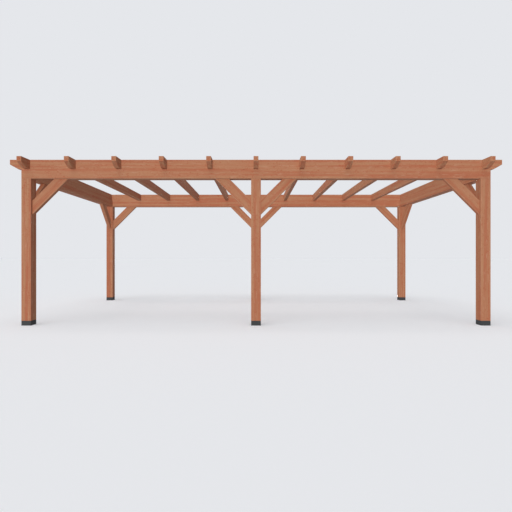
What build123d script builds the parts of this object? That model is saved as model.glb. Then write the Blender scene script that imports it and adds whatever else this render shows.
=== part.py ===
"""Timber patio cover: posts in steel shoes carry two long beams with shaped tails. Ties join the
beams at the ends, rafters lie in housings cut into the beams, and knee braces stiffen every post.
Posts, ties and braces are tenoned, so no fixing shows.

Sizes are millimetres. X runs along the beams, Y from front to back and Z up. The origin is on
the ground, at the middle of the plan.
"""

import os
from math import sqrt

from build123d import *

# Plan and height
BAY_LENGTH = 3600  # between post centres along a beam
SPAN = 3600  # between the centres of the front and back posts
HEADROOM = 2304  # from the ground to the underside of the beams and ties

# Timber sections
POST_SIDE = 153  # square posts, and the thickness of the beams and ties that sit flush on them
BEAM_DEPTH = 294
RAFTER_WIDTH = 74
RAFTER_DEPTH = 148
BRACE_THICKNESS = 72
BRACE_DEPTH = 155
ARRIS = 2  # chamfer on the long edges of every timber

# Rafters
RAFTER_COUNT = 11
END_RAFTER_INSET = 22  # from the corner post's centre line in to the end rafter's centre line

# Tails, cut plumb at the tip and bevelled back to a level soffit
TAIL_PLUMB = 75  # height of the plumb cut
TAIL_BEVEL = 135  # level length of the bevel
BEAM_TAIL_DEPTH = 150  # from the top of the beam to the soffit of its tail
BEAM_SOFFIT = 45  # level soffit between the corner post and the bevel
RAFTER_SOFFIT = 100  # level soffit between the beam and the bevel

# Knee braces
BRACE_LEG = 559  # along the post and the beam, from their corner to the brace's outer edge

# Steel shoes under the posts
SHOE_HEIGHT = 75
SHOE_WALL = 5
SHOE_BASE = 8

# Joinery
TENON_SHARE = 1 / 3  # of the timber's thickness, for a tenon's thickness
TENON_WIDTH_SHARE = 0.6  # of the joint's width, for a tenon's width
POST_TENON_HEIGHT_SHARE = 0.4  # of the beam left under the housings
TIE_TENON_LENGTH_SHARE = 0.2  # of the beam's thickness
BRACE_TENON_LENGTH_SHARE = 0.25  # of the post's side
HOUSING_GAP = 0.5  # each side of a rafter in its housing
MORTISE_GAP = 1  # each side of a tenon in its mortise
MORTISE_RELIEF = 5  # past the end of a tenon
SPIGOT_GAP = 0.5  # each side of a post's foot in its shoe
OVERRUN = 10  # how far a cut runs past the face that it opens

# Levels and lines that follow from the sizes above
beam_top = HEADROOM + BEAM_DEPTH
rafter_seat = beam_top - RAFTER_DEPTH
tie_depth = rafter_seat - HEADROOM
tie_length = SPAN - POST_SIDE
post_face_x = BAY_LENGTH + POST_SIDE / 2
beam_face_y = SPAN / 2 + POST_SIDE / 2
first_rafter_x = END_RAFTER_INSET - BAY_LENGTH
rafter_pitch = -2 * first_rafter_x / (RAFTER_COUNT - 1)
rafter_lines = [first_rafter_x + rafter_pitch * index for index in range(RAFTER_COUNT)]

columns = {"left": -BAY_LENGTH, "middle": 0, "right": BAY_LENGTH}
rows = {"front": -SPAN / 2, "back": SPAN / 2}
inward = {"front": 1, "back": -1}
upright = (Align.CENTER, Align.CENTER, Align.MIN)


def tail(tip, top, depth):
    """The outline of one tail, from the end of its soffit to its upper corner."""
    return [(tip - TAIL_BEVEL, top - depth), (tip, top - TAIL_PLUMB), (tip, top)]


def mirrored(half):
    """A closed outline from the half on the positive side, which runs from bottom to top."""
    return half + [(-along, level) for along, level in reversed(half)]


def sawn(outline, plane, thickness):
    """A timber cut to an outline on a plane, centred on it, with the outline's edges eased."""
    blank = extrude(plane * make_face(Polyline(*outline, close=True)), thickness / 2, both=True)
    sides = blank.faces().filter_by(Axis((0, 0, 0), plane.z_dir))
    return chamfer(sides.edges(), ARRIS)


# Tenons, and the mortises that take them: the same blocks, grown by a gap and a relief

def post_tenon(gap=0, relief=0):
    """The tenon on a post's head, long way along the beam, with its shoulder at Z 0."""
    width = POST_SIDE * TENON_WIDTH_SHARE
    thickness = POST_SIDE * TENON_SHARE
    height = tie_depth * POST_TENON_HEIGHT_SHARE
    overrun = OVERRUN if gap else 0
    block = Box(width + 2 * gap, thickness + 2 * gap, height + relief + overrun, align=upright)
    return Pos(0, 0, -overrun) * block


def tie_tenons(gap=0, relief=0):
    """The tenons on both ends of a tie as one bar along Y, centred in the tie."""
    thickness = POST_SIDE * TENON_SHARE
    depth = tie_depth * TENON_WIDTH_SHARE
    reach = POST_SIDE * TIE_TENON_LENGTH_SHARE + relief
    return Box(thickness + 2 * gap, tie_length + 2 * reach, depth + 2 * gap)


def brace_tenons(gap=0, relief=0):
    """The tenons on both ends of a knee brace that rises from X 0 to an underside at Z 0."""
    inner_leg = BRACE_LEG - BRACE_DEPTH * sqrt(2)
    middle = (BRACE_LEG + inner_leg) / 2
    width = (BRACE_LEG - inner_leg) * TENON_WIDTH_SHARE + 2 * gap
    thickness = BRACE_THICKNESS * TENON_SHARE + 2 * gap
    length = POST_SIDE * BRACE_TENON_LENGTH_SHARE + relief
    overrun = OVERRUN if gap else 0
    foot = Pos((overrun - length) / 2, 0, -middle) * Box(length + overrun, thickness, width)
    head = Pos(middle, 0, (length - overrun) / 2) * Box(width, thickness, length + overrun)
    return [foot, head]


def brace():
    """A knee brace in the XZ plane, from a post's face at X 0 up to an underside at Z 0."""
    inner_leg = BRACE_LEG - BRACE_DEPTH * sqrt(2)
    outline = [(0, -BRACE_LEG), (BRACE_LEG, 0), (inner_leg, 0), (0, -inner_leg)]
    blank = make_face(Polyline(*outline, close=True))
    timber = extrude(Plane.XZ * blank, BRACE_THICKNESS / 2, both=True)
    timber = chamfer(timber.edges().filter_by(Axis((0, 0, 0), (1, 0, 1))), ARRIS)
    return timber + brace_tenons()


def brace_seat(column, row, toward_x, toward_y):
    """Where the brace on a post starts: the corner of the post and the underside, turned its way."""
    turn = {(1, 0): 0, (0, 1): 90, (-1, 0): 180, (0, -1): 270}[(toward_x, toward_y)]
    corner_x = columns[column] + toward_x * POST_SIDE / 2
    corner_y = rows[row] + toward_y * POST_SIDE / 2
    return Pos(corner_x, corner_y, HEADROOM) * Rot(0, 0, turn)


# Every brace by its name, with the post that it stands on and the way that it rises
brace_seats = {}
for row in rows:
    brace_seats[f"{row}_left_brace"] = brace_seat("left", row, 1, 0)
    brace_seats[f"{row}_middle_brace_to_left"] = brace_seat("middle", row, -1, 0)
    brace_seats[f"{row}_middle_brace_to_right"] = brace_seat("middle", row, 1, 0)
    brace_seats[f"{row}_right_brace"] = brace_seat("right", row, -1, 0)
    brace_seats[f"left_tie_brace_{row}"] = brace_seat("left", row, 0, inward[row])
    brace_seats[f"right_tie_brace_{row}"] = brace_seat("right", row, 0, inward[row])


def cut_for_braces(timber):
    """A timber in its place, with a mortise for each brace that comes into it."""
    for seat in brace_seats.values():
        for mortise in brace_tenons(MORTISE_GAP, MORTISE_RELIEF):
            timber -= seat * mortise
    return timber


def beam(row):
    """A long beam over one row of posts, open at the top where the rafters lie."""
    beam_tip = post_face_x + BEAM_SOFFIT + TAIL_BEVEL
    outline = mirrored(
        [
            (post_face_x, HEADROOM),
            (post_face_x, beam_top - BEAM_TAIL_DEPTH),
            *tail(beam_tip, beam_top, BEAM_TAIL_DEPTH),
        ]
    )
    timber = Pos(0, rows[row], 0) * sawn(outline, Plane.XZ, POST_SIDE)

    housing_width = RAFTER_WIDTH + 2 * HOUSING_GAP
    housing = Box(housing_width, POST_SIDE + 2 * OVERRUN, RAFTER_DEPTH + OVERRUN, align=upright)
    timber -= [Pos(x, rows[row], rafter_seat) * housing for x in rafter_lines]

    mortise = post_tenon(MORTISE_GAP, MORTISE_RELIEF)
    timber -= [Pos(x, rows[row], HEADROOM) * mortise for x in columns.values()]

    tie_mortise = tie_tenons(MORTISE_GAP, MORTISE_RELIEF)
    tie_level = HEADROOM + tie_depth / 2
    timber -= [Pos(columns[end], 0, tie_level) * tie_mortise for end in ("left", "right")]
    return cut_for_braces(timber)


def rafter(x):
    """A rafter with a tail past each beam, whole over its length."""
    tip = beam_face_y + RAFTER_SOFFIT + TAIL_BEVEL
    outline = mirrored(tail(tip, beam_top, RAFTER_DEPTH))
    return Pos(x, 0, 0) * sawn(outline, Plane.YZ, RAFTER_WIDTH)


def tie(end):
    """A tie between the two beams, under the end rafter."""
    timber = Box(POST_SIDE, tie_length, tie_depth)
    timber = chamfer(timber.edges().filter_by(Axis.Y), ARRIS) + tie_tenons()
    return cut_for_braces(Pos(columns[end], 0, HEADROOM + tie_depth / 2) * timber)


def post(column, row):
    """A post with a tenon up into its beam and a spigot down into its shoe."""
    timber = Box(POST_SIDE, POST_SIDE, HEADROOM - SHOE_HEIGHT, align=upright)
    timber = Pos(0, 0, SHOE_HEIGHT) * chamfer(timber.edges().filter_by(Axis.Z), ARRIS)
    spigot_side = POST_SIDE - 2 * (SHOE_WALL + SPIGOT_GAP)
    spigot = Box(spigot_side, spigot_side, SHOE_HEIGHT - SHOE_BASE, align=upright)
    timber += [Pos(0, 0, HEADROOM) * post_tenon(), Pos(0, 0, SHOE_BASE) * spigot]
    return cut_for_braces(Pos(columns[column], rows[row], 0) * timber)


def shoe(column, row):
    """A welded steel cup as wide as its post, with a thick base plate."""
    cup = Box(POST_SIDE, POST_SIDE, SHOE_HEIGHT, align=upright)
    cup = chamfer(cup.edges().filter_by(Axis.Z), ARRIS)
    inner_side = POST_SIDE - 2 * SHOE_WALL
    cup -= Pos(0, 0, SHOE_BASE) * Box(inner_side, inner_side, SHOE_HEIGHT, align=upright)
    return Pos(columns[column], rows[row], 0) * cup


def assembly():
    """Every piece of the patio cover in its place, by name."""
    pieces = {name: seat * brace() for name, seat in brace_seats.items()}
    for row in rows:
        pieces[f"{row}_beam"] = beam(row)
        for column in columns:
            pieces[f"{row}_{column}_post"] = post(column, row)
            pieces[f"{row}_{column}_shoe"] = shoe(column, row)
    for end in ("left", "right"):
        pieces[f"{end}_tie"] = tie(end)
    for number, x in enumerate(rafter_lines, start=1):
        pieces[f"rafter_{number:02d}"] = rafter(x)
    return pieces


os.makedirs("parts", exist_ok=True)
for name, solid in assembly().items():
    export_step(solid, os.path.join("parts", f"{name}.step"))
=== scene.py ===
"""Looks of the timber patio cover: stained timber with its own grain along every piece, black
coated shoes, eased arrises, and a pale studio seen from the front at the photograph's angle.
Metres, in the frame of the solids: X along the beams, Y from front to back, Z up.
"""

import math
from typing import NamedTuple

import bpy
from mathutils import Matrix, Vector


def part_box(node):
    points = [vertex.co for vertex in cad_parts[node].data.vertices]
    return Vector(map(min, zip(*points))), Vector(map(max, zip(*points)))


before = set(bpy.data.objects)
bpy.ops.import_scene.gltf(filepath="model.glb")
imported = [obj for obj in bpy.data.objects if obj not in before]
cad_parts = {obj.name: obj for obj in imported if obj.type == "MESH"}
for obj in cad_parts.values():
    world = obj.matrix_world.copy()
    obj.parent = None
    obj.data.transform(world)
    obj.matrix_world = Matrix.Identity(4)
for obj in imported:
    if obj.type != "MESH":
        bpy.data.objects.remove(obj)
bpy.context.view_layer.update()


class Tint(NamedTuple):
    """A colour that is laid over another, with this strength where its mask is full."""

    color: tuple
    strength: float = 1.0


class Pattern(NamedTuple):
    """A noise in the wood, in cells to a metre with the grain and across it."""

    along: float
    across: float
    detail: float = 1.0
    roughness: float = 0.5
    fade: tuple = (0.0, 1.0)  # the levels between which its marks come up


class Lamp(NamedTuple):
    """A far lamp. At level 1 it shows a facing colour as written."""

    way: tuple  # toward the lamp
    level: float
    softness: float  # degrees across
    shadow: bool = False


# Camera, level and square on to the front posts
IMAGE_SIDE = 512  # pixels
FOCAL_PIXELS = 403.5
SENSOR_WIDTH = 36.0  # millimetres
EYE_HEIGHT = 1.090
EYE_DISTANCE = 6.320  # from the faces of the front posts

# Arrises
ARRIS_RADIUS = 0.0012
ARRIS_STEPS = 2
ARRIS_ANGLE = math.radians(20)  # an edge that turns by more is eased
WELD_DISTANCE = 0.00005

# Colours, as linear light: the two stains of the timber, the coating, and what lies over them
TIMBER_RED = (0.404, 0.134, 0.070, 1)
TIMBER_TAN = (0.434, 0.206, 0.111, 1)
COATING_DARK = (0.051, 0.0512, 0.0515, 1)
COATING_PALE = (0.063, 0.0632, 0.0635, 1)
TINTS = {
    "fleck": Tint((0.490, 0.256, 0.158, 1)),
    "spot": Tint((0.370, 0.095, 0.046, 1)),
    "latewood": Tint((0.330, 0.116, 0.060, 1), 0.26),
    "pore": Tint((0.330, 0.116, 0.060, 1), 0.35),
    "knot": Tint((0.270, 0.088, 0.044, 1), 0.70),
    "wear": Tint((0.520, 0.268, 0.165, 1), 0.40),
    "check": Tint((0.070, 0.028, 0.016, 1), 0.80),
    "dust": Tint((0.20, 0.19, 0.18, 1), 0.25),
}

# Patterns in the wood
PATTERNS = {
    "band": Pattern(0.35, 21, detail=1.5, fade=(0.38, 0.58)),
    "streak": Pattern(2.6, 34, detail=3.0, roughness=0.55, fade=(0.34, 0.66)),
    "fleck": Pattern(9, 70, fade=(0.58, 0.72)),
    "spot": Pattern(30, 38, fade=(0.62, 0.72)),
    "tick": Pattern(62, 30, fade=(0.56, 0.66)),
    "tick_cluster": Pattern(2.6, 3, fade=(0.48, 0.60)),
    "fibre": Pattern(16, 520, detail=2.0, roughness=0.6),
    "pore": Pattern(55, 780, fade=(0.66, 0.74)),
    "pith": Pattern(0.45, 2.6, detail=1.5),
    "ring": Pattern(1.1, 9, detail=2.0),
    "check": Pattern(1.3, 2, detail=2.0),
}
LOG_STEP = (7.13, 3.31, 5.57)  # through the patterns, from one timber to the next
NOISE_MIDDLE = (0.5, 0.5, 0.5)
ACROSS_GRAIN = (0.0, 1.0, 1.0)  # times a place, leaves what lies across the grain

# Stain
STREAK_SHARE = 0.3  # of the streaks in the stain's hue, beside the bands
FIBRE_SOAKED = (0.44, 0.56)  # from fibres that shed the spots to those that soak them up
FIBRE_DRY = (0.58, 0.44)  # from fibres that hide the flecks to those that show them
FIBRE_SHADE = (0.92, 1.12)  # from the darkest fibre to the palest

# Growth rings
RING_WIDTH = 0.0085
RING_WANDER = 2.2  # rings
RING_DARKENS = (0.25, 0.88)  # over these shares of its width a ring turns to latewood
RING_BREAKS_OFF = (1.0, 0.93)  # and from its outer edge back to here, latewood ends
PITH_WANDER = 0.07
PITH_REACH = 0.055  # from a timber's middle, more or less the swing
PITH_SWING = 0.045
PITH_SWING_STEP = 1.7  # radians from one timber to the next
GOLDEN_ANGLE = math.pi * (3 - math.sqrt(5))  # turns each timber's pith a different way

# Knots
KNOT_CELLS = (1.5, 5.0, 5.0)  # to a metre, with one knot in each
KNOT_SQUEEZE = (0.7, 1.0, 1.0)  # of distances, which makes knots longer with the grain
KNOT_RADIUS = 0.013
KNOT_CORE = 0.007  # radius of the darkest part
KNOT_REACH = 0.060  # from a knot's middle to rings that run straight
KNOT_PUSH = 2.4  # rings

# Drying checks
CHECK_LANES = 6.5  # lines to a metre of face
LANE_MIDDLE = 0.5
LANE_STEP = 7.7  # between the noises of neighbouring lanes
CHECK_WIDTH = 0.0008  # from a check's middle to its edge
CHECK_CELLS = 1.1  # to a metre of lane
CHECK_OPENS = (0.58, 0.72)

# Wear along the arrises, by the distance from one less a ragged part
WEAR_FADE = (0.004, -0.001)  # where wear ends, and where it is full
WEAR_RAGGED = 0.006

# Surface of the timber
TIMBER_GLOSS = 0.03  # specular level of the stain
TIMBER_ROUGHNESS = (0.50, 0.72)
CUT_ROUGHENS = 0.6  # end grain, as a share of that range
CUT_FACING = (0.35, 0.75)  # how squarely a face cuts the grain, from side grain to end grain
TIMBER_RELIEF = 0.0012
TIMBER_RELIEF_STRENGTH = 0.45
FIBRE_HEIGHT = 0.35  # this and the next three are in reliefs
LATEWOOD_HEIGHT = 0.5
PORE_DEPTH = 0.35
CHECK_DEPTH = 2.0

# Surface of the coated steel
COATING_GLOSS = 0.04  # specular level
COATING_ROUGHNESS = (0.50, 0.70)
CLOUD_CELLS = 14.0  # to a metre
CLOUD_DETAIL = 4.0
CLOUD_ROUGHNESS = 0.6
PEEL_CELLS = 900.0
PEEL_DETAIL = 2.0
PEEL_RELIEF = 0.0004
PEEL_RELIEF_STRENGTH = 0.25
DUST_HEIGHT = 0.020
DUST_CLOUD = (0.40, 0.75)

# Studio
BACKGROUND = (0.784, 0.799, 0.831, 1)
FLOOR_REACH = 150.0
FLOOR_SEEN = (0.80, 0.80, 0.80, 1)
FLOOR_GLOW = (0.203, 0.209, 0.2215, 1)  # brings the floor that is seen up to the background
FLOOR_BOUNCE = (0.51, 0.57, 0.63, 1)  # its colour in the light that it throws back
LAMPS = {
    "key": Lamp((-0.58, -0.81, -0.03), 0.81, 20),
    "fill": Lamp((0.70, 0.70, -0.20), 0.14, 60),
    "back": Lamp((0.0, 1.0, 0.01), 0.28, 1),
    "overhead": Lamp((-0.10, -0.14, 0.98), 0.46, 50, shadow=True),
}
SKY_TINT = (0.95, 1.0, 1.09)
SKY_LEVEL = (0.235, 0.29)  # away from the key and toward it
SKY_SPREAD = (-0.6, 0.9)  # cosines of the angles to the key where it is dimmest and brightest

# Which way the grain runs in each kind of piece, by the first of these that is in its name
GRAIN = {
    "_tie_brace_front": (0, 1, 1),
    "_tie_brace_back": (0, -1, 1),
    "_left_brace": (1, 0, 1),
    "_right_brace": (-1, 0, 1),
    "_brace_to_left": (-1, 0, 1),
    "_brace_to_right": (1, 0, 1),
    "_post": (0, 0, 1),
    "_beam": (1, 0, 0),
    "_tie": (0, 1, 0),
    "rafter_": (0, 1, 0),
}

# What the grain takes in and gives out
GRAIN_INPUTS = {
    "Position": "NodeSocketVector",
    "Half Size": "NodeSocketVector",
    "Pith": "NodeSocketVector",
    "Seed": "NodeSocketFloat",
    "Cut": "NodeSocketFloat",
}
GRAIN_OUTPUTS = {
    "Color": "NodeSocketColor",
    "Roughness": "NodeSocketFloat",
    "Height": "NodeSocketFloat",
}


class Nodes:
    """A node tree with short calls that add a node, feed it and give back its output."""

    def __init__(self, tree):
        self.tree = tree
        tree.nodes.clear()

    def add(self, kind, feeds=(), **settings):
        node = self.tree.nodes.new(kind)
        for name, value in settings.items():
            setattr(node, name, value)
        for socket, value in dict(feeds).items():
            self.feed(node.inputs[socket], value)
        return node

    def feed(self, socket, value):
        if isinstance(value, bpy.types.NodeSocket):
            self.tree.links.new(value, socket)
        else:
            socket.default_value = value

    def math(self, operation, first, second=0.0):
        return self.add("ShaderNodeMath", {0: first, 1: second}, operation=operation).outputs[0]

    def plus(self, first, second):
        return self.math("ADD", first, second)

    def minus(self, first, second):
        return self.math("SUBTRACT", first, second)

    def times(self, first, second):
        return self.math("MULTIPLY", first, second)

    def vector(self, operation, first, second=(0, 0, 0)):
        node = self.add("ShaderNodeVectorMath", {0: first, 1: second}, operation=operation)
        return node.outputs["Value" if operation in ("LENGTH", "DOT_PRODUCT") else "Vector"]

    def scaled(self, vector, factor):
        node = self.add("ShaderNodeVectorMath", {0: vector, "Scale": factor}, operation="SCALE")
        return node.outputs["Vector"]

    def apart(self, vector):
        """The three numbers of a vector, by their axes."""
        return self.add("ShaderNodeSeparateXYZ", {0: vector}).outputs

    def noise(self, vector, scale=1.0, detail=1.0, roughness=0.5, output="Fac"):
        feeds = {"Vector": vector, "Scale": scale, "Detail": detail, "Roughness": roughness}
        return self.add("ShaderNodeTexNoise", feeds).outputs[output]

    def smooth(self, value, start, end):
        """0 up to the start and 1 from the end on, either way round, with a soft step between."""
        feeds = {"Value": value, "From Min": start, "From Max": end}
        node = self.add("ShaderNodeMapRange", feeds, interpolation_type="SMOOTHSTEP")
        return node.outputs["Result"]

    def span(self, value, low, high):
        """The low number where the value is 0 and the high one where it is 1."""
        feeds = {"Value": value, "To Min": low, "To Max": high}
        return self.add("ShaderNodeMapRange", feeds).outputs["Result"]

    def blend(self, share, first, second):
        """Two numbers, with this share of the second."""
        node = self.add("ShaderNodeMix", {"Factor": share, "A": first, "B": second})
        return node.outputs["Result"]

    def mix(self, share, first, second):
        """Two colours, with this share of the second."""
        node = self.add("ShaderNodeMix", data_type="RGBA")
        sockets = [socket for socket in node.inputs if socket.enabled]
        for socket, value in zip(sockets, (share, first, second)):
            self.feed(socket, value)
        return next(socket for socket in node.outputs if socket.enabled)

    def glaze(self, color, name, mask):
        """A colour with a tint laid over it where a mask says."""
        tint = TINTS[name]
        return self.mix(self.times(mask, tint.strength), color, tint.color)

    def bump(self, height, strength, distance):
        feeds = {"Height": height, "Strength": strength, "Distance": distance}
        return self.add("ShaderNodeBump", feeds).outputs["Normal"]


class Wood(Nodes):
    """The nodes of the wood, which work from a place in the timber with X along its grain."""

    def __init__(self, group):
        super().__init__(group)
        self.given = self.add("NodeGroupInput").outputs
        step = self.scaled(LOG_STEP, self.given["Seed"])
        self.place = self.vector("ADD", self.given["Position"], step)

    def pattern(self, name, output="Fac"):
        """A named noise, which has its own grain."""
        made = PATTERNS[name]
        cells = self.vector("MULTIPLY", self.place, (made.along, made.across, made.across))
        return self.noise(cells, detail=made.detail, roughness=made.roughness, output=output)

    def marks(self, name):
        """1 where a pattern stands above its fade, 0 where it is under it."""
        return self.smooth(self.pattern(name), *PATTERNS[name].fade)


def knots(wood):
    """Small oval knots: how far into one the place is, and how near to one."""
    scattered = {"Vector": wood.vector("MULTIPLY", wood.place, KNOT_CELLS), "Scale": 1.0}
    cells = wood.add("ShaderNodeTexVoronoi", scattered)
    center = wood.vector("DIVIDE", cells.outputs["Position"], KNOT_CELLS)
    offset = wood.vector("SUBTRACT", wood.place, center)
    distance = wood.vector("LENGTH", wood.vector("MULTIPLY", offset, KNOT_SQUEEZE))
    return wood.smooth(distance, KNOT_RADIUS, KNOT_CORE), wood.smooth(distance, KNOT_REACH, 0.0)


def growth_rings(wood, near_knot):
    """The dark latewood of rings round a pith that wanders along the timber. Knots push them
    aside."""
    wander = wood.vector("SUBTRACT", wood.pattern("pith", output="Color"), NOISE_MIDDLE)
    from_pith = wood.vector("SUBTRACT", wood.given["Position"], wood.given["Pith"])
    from_pith = wood.vector("ADD", from_pith, wood.scaled(wander, PITH_WANDER))
    distance = wood.vector("LENGTH", wood.vector("MULTIPLY", from_pith, ACROSS_GRAIN))
    count = wood.math("DIVIDE", distance, RING_WIDTH)
    count = wood.plus(count, wood.times(wood.pattern("ring"), RING_WANDER))
    count = wood.plus(count, wood.times(near_knot, KNOT_PUSH))
    ring = wood.math("FRACT", count)
    return wood.times(wood.smooth(ring, *RING_DARKENS), wood.smooth(ring, *RING_BREAKS_OFF))


def arris_wear(wood, inset, streak):
    """1 at a rubbed arris. The middle one of the distances to the three pairs of faces is the
    distance to the nearest arris."""
    low = wood.math("MINIMUM", inset["Y"], inset["Z"])
    high = wood.math("MAXIMUM", inset["Y"], inset["Z"])
    arris = wood.math("MAXIMUM", low, wood.math("MINIMUM", high, inset["X"]))
    return wood.smooth(wood.minus(arris, wood.times(streak, WEAR_RAGGED)), *WEAR_FADE)


def drying_checks(wood, inset):
    """Thin lines along each face that waver a little and come and go."""
    sides = wood.apart(wood.place)
    z_face_nearer = wood.math("GREATER_THAN", inset["Y"], inset["Z"])
    across_face = wood.blend(z_face_nearer, sides["Z"], sides["Y"])
    lane = wood.plus(wood.times(across_face, CHECK_LANES), wood.pattern("check"))
    distance = wood.math("ABSOLUTE", wood.minus(wood.math("FRACT", lane), LANE_MIDDLE))
    distance = wood.math("DIVIDE", distance, CHECK_LANES)
    lane_place = wood.times(wood.math("FLOOR", lane), LANE_STEP)
    along_lane = wood.add("ShaderNodeCombineXYZ", {"X": sides["X"], "Y": lane_place}).outputs[0]
    opening = wood.smooth(wood.noise(along_lane, CHECK_CELLS), *CHECK_OPENS)
    return wood.times(wood.smooth(distance, CHECK_WIDTH, 0.0), opening)


def stained(wood, streak, fibre):
    """The stain: bands of red and tan with finer streaks, pale flecks, and dark spots and ticks.
    Fibres that soak it up break the spots, and the others break the flecks."""
    soaked = wood.smooth(fibre, *FIBRE_SOAKED)
    dry = wood.smooth(fibre, *FIBRE_DRY)
    tick = wood.times(wood.marks("tick"), wood.marks("tick_cluster"))
    streaks = wood.smooth(streak, *PATTERNS["streak"].fade)
    hue = wood.blend(STREAK_SHARE, wood.marks("band"), streaks)
    color = wood.mix(hue, TIMBER_RED, TIMBER_TAN)
    color = wood.glaze(color, "fleck", wood.times(wood.marks("fleck"), dry))
    color = wood.glaze(color, "spot", wood.times(wood.marks("spot"), soaked))
    return wood.glaze(color, "spot", wood.times(tick, soaked))


def grain_group():
    """The wood itself, as a solid pattern that every timber is cut from."""
    group = bpy.data.node_groups.new("timber_grain", "ShaderNodeTree")
    for way, sockets in (("INPUT", GRAIN_INPUTS), ("OUTPUT", GRAIN_OUTPUTS)):
        for name, kind in sockets.items():
            group.interface.new_socket(name, in_out=way, socket_type=kind)

    wood = Wood(group)
    from_middle = wood.vector("ABSOLUTE", wood.given["Position"])
    inset = wood.apart(wood.vector("SUBTRACT", wood.given["Half Size"], from_middle))
    streak = wood.pattern("streak")
    fibre = wood.pattern("fibre")
    pores = wood.marks("pore")
    knot, near_knot = knots(wood)
    latewood = growth_rings(wood, near_knot)
    check = drying_checks(wood, inset)

    color = stained(wood, streak, fibre)
    color = wood.glaze(color, "latewood", latewood)
    color = wood.glaze(color, "pore", pores)
    color = wood.scaled(color, wood.span(fibre, *FIBRE_SHADE))
    color = wood.glaze(color, "knot", knot)
    color = wood.glaze(color, "wear", arris_wear(wood, inset, streak))
    color = wood.glaze(color, "check", check)

    coarseness = wood.plus(fibre, wood.times(wood.given["Cut"], CUT_ROUGHENS))
    roughness = wood.span(coarseness, *TIMBER_ROUGHNESS)
    height = wood.plus(wood.times(fibre, FIBRE_HEIGHT), wood.times(latewood, LATEWOOD_HEIGHT))
    height = wood.minus(height, wood.times(pores, PORE_DEPTH))
    height = wood.minus(height, wood.times(check, CHECK_DEPTH))
    wood.add("NodeGroupOutput", {"Color": color, "Roughness": roughness, "Height": height})
    return group


def finish_material(name, build):
    """A material whose nodes a function adds, ending in one shader."""
    material = bpy.data.materials.new(name)
    material.use_nodes = True
    nodes = Nodes(material.node_tree)
    nodes.add("ShaderNodeOutputMaterial", {"Surface": build(nodes)})
    return material


def grain_frame(node):
    """The turn, centre and half size of a timber, with local X along its grain."""
    direction = next(way for words, way in GRAIN.items() if words in node)
    along = Vector(direction).normalized()
    if direction == (0, 0, 1):
        across = Vector((0, 1, 0))
    else:
        across = Vector((-along.y, along.x, 0)).normalized()
    turn = Matrix((along, across, along.cross(across))).transposed()
    local = [turn.transposed() @ vertex.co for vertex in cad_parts[node].data.vertices]
    low = Vector(min(point[axis] for point in local) for axis in range(3))
    high = Vector(max(point[axis] for point in local) for axis in range(3))
    return turn, turn @ ((low + high) / 2), (high - low) / 2


def pith_of(number):
    """Where a timber's pith lies, across its grain: at another angle and distance in each."""
    reach = PITH_REACH + PITH_SWING * math.sin(number * PITH_SWING_STEP)
    angle = number * GOLDEN_ANGLE
    return (0.0, reach * math.cos(angle), reach * math.sin(angle))


def timber(node, number, group):
    """The material of one timber: the shared grain, laid along this piece and cut from its own
    place in the log."""
    turn, center, half_size = grain_frame(node)

    def build(nodes):
        coordinates = nodes.add("ShaderNodeTexCoord").outputs
        laid = {"Vector": coordinates["Object"], "Location": center, "Rotation": turn.to_euler()}
        position = nodes.add("ShaderNodeMapping", laid, vector_type="TEXTURE").outputs["Vector"]
        facing = nodes.vector("DOT_PRODUCT", coordinates["Normal"], turn.col[0])
        cut_from = {
            "Position": position,
            "Half Size": half_size,
            "Pith": pith_of(number),
            "Seed": float(number),
            "Cut": nodes.smooth(nodes.math("ABSOLUTE", facing), *CUT_FACING),
        }
        grain = nodes.add("ShaderNodeGroup", cut_from, node_tree=group).outputs
        surface = {
            "Base Color": grain["Color"],
            "Roughness": grain["Roughness"],
            "Normal": nodes.bump(grain["Height"], TIMBER_RELIEF_STRENGTH, TIMBER_RELIEF),
            "Specular IOR Level": TIMBER_GLOSS,
        }
        return nodes.add("ShaderNodeBsdfPrincipled", surface).outputs["BSDF"]

    return finish_material(f"timber_{node}", build)


def coated_steel():
    """Matt black coating with a fine orange peel, paler patches and a little dust low down."""

    def build(nodes):
        place = nodes.add("ShaderNodeTexCoord").outputs["Object"]
        cloud = nodes.noise(place, CLOUD_CELLS, CLOUD_DETAIL, CLOUD_ROUGHNESS)
        peel = nodes.noise(place, PEEL_CELLS, PEEL_DETAIL)
        low_down = nodes.smooth(nodes.apart(place)["Z"], DUST_HEIGHT, 0.0)
        dust = nodes.times(low_down, nodes.smooth(cloud, *DUST_CLOUD))
        coating = nodes.mix(cloud, COATING_DARK, COATING_PALE)
        surface = {
            "Base Color": nodes.glaze(coating, "dust", dust),
            "Roughness": nodes.span(cloud, *COATING_ROUGHNESS),
            "Normal": nodes.bump(peel, PEEL_RELIEF_STRENGTH, PEEL_RELIEF),
            "Specular IOR Level": COATING_GLOSS,
        }
        return nodes.add("ShaderNodeBsdfPrincipled", surface).outputs["BSDF"]

    return finish_material("coated_steel", build)


def ease_edges(piece):
    """Rounds a solid's arrises a little. The mesh itself stays as it came."""
    weld = piece.modifiers.new("weld", "WELD")
    weld.merge_threshold = WELD_DISTANCE
    bevel = piece.modifiers.new("arris", "BEVEL")
    bevel.limit_method = "ANGLE"
    bevel.angle_limit = ARRIS_ANGLE
    bevel.width = ARRIS_RADIUS
    bevel.segments = ARRIS_STEPS
    bevel.harden_normals = True


def dress():
    """Gives every solid its material and its eased edges."""
    group = grain_group()
    steel = coated_steel()
    for number, (node, piece) in enumerate(sorted(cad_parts.items())):
        material = steel if node.endswith("_shoe") else timber(node, number, group)
        piece.data.materials.clear()
        piece.data.materials.append(material)
        ease_edges(piece)


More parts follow.
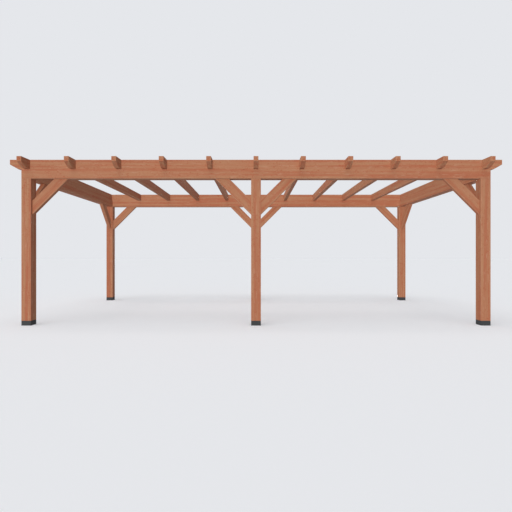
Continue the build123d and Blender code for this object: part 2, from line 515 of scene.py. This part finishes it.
def seen_rays(nodes):
    """1 for rays that show the surroundings as such: seen, mirrored or through glass."""
    path = nodes.add("ShaderNodeLightPath").outputs
    seen = nodes.math("MAXIMUM", path["Is Camera Ray"], path["Is Glossy Ray"])
    return nodes.math("MAXIMUM", seen, path["Is Transmission Ray"])


def studio_floor():
    """A wide pale floor that meets the background without an edge and keeps a soft shadow."""
    mesh = bpy.data.meshes.new("studio_floor")
    square = ((-1, -1), (1, -1), (1, 1), (-1, 1))
    corners = [(x * FLOOR_REACH, y * FLOOR_REACH, 0) for x, y in square]
    mesh.from_pydata(corners, [], [range(len(corners))])
    floor = bpy.data.objects.new("studio_floor", mesh)
    bpy.context.scene.collection.objects.link(floor)

    def build(nodes):
        seen = seen_rays(nodes)
        color = nodes.mix(seen, FLOOR_BOUNCE, FLOOR_SEEN)
        matt = nodes.add("ShaderNodeBsdfDiffuse", {"Color": color}).outputs[0]
        glow = nodes.add("ShaderNodeEmission", {"Color": FLOOR_GLOW, "Strength": seen}).outputs[0]
        return nodes.add("ShaderNodeAddShader", {0: matt, 1: glow}).outputs[0]

    mesh.materials.append(finish_material("studio_floor", build))


def studio_world():
    """Soft light from all round, stronger from the key's side, behind a plain pale background."""
    world = bpy.data.worlds.new("studio")
    bpy.context.scene.world = world
    world.use_nodes = True
    nodes = Nodes(world.node_tree)
    way = nodes.add("ShaderNodeTexCoord").outputs["Generated"]
    toward_key = nodes.vector("DOT_PRODUCT", way, Vector(LAMPS["key"].way).normalized())
    level = nodes.span(nodes.smooth(toward_key, *SKY_SPREAD), *SKY_LEVEL)
    color = nodes.mix(seen_rays(nodes), nodes.scaled(SKY_TINT, level), BACKGROUND)
    background = nodes.add("ShaderNodeBackground", {"Color": color, "Strength": 1.0})
    nodes.add("ShaderNodeOutputWorld", {"Surface": background.outputs[0]})


def studio_lamps():
    """A key from the front left, a fill from the back right, and lamps behind and overhead."""
    for name, lamp in LAMPS.items():
        sun = bpy.data.lights.new(name, "SUN")
        sun.energy = lamp.level * math.pi
        sun.use_shadow = lamp.shadow
        sun.angle = math.radians(lamp.softness)
        piece = bpy.data.objects.new(name, sun)
        piece.rotation_euler = Vector(lamp.way).to_track_quat("Z", "Y").to_euler()
        bpy.context.scene.collection.objects.link(piece)


def camera():
    """The photograph's view, square on to the front."""
    front_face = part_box("front_middle_post")[0].y
    lens = bpy.data.cameras.new("camera")
    lens.sensor_width = SENSOR_WIDTH
    lens.lens = FOCAL_PIXELS / IMAGE_SIDE * SENSOR_WIDTH
    eye = bpy.data.objects.new("camera", lens)
    eye.location = (0, front_face - EYE_DISTANCE, EYE_HEIGHT)
    eye.rotation_euler = (math.pi / 2, 0, 0)
    bpy.context.scene.collection.objects.link(eye)
    bpy.context.scene.camera = eye


dress()
studio_floor()
studio_world()
studio_lamps()
camera()
bpy.context.scene.view_settings.view_transform = "Standard"
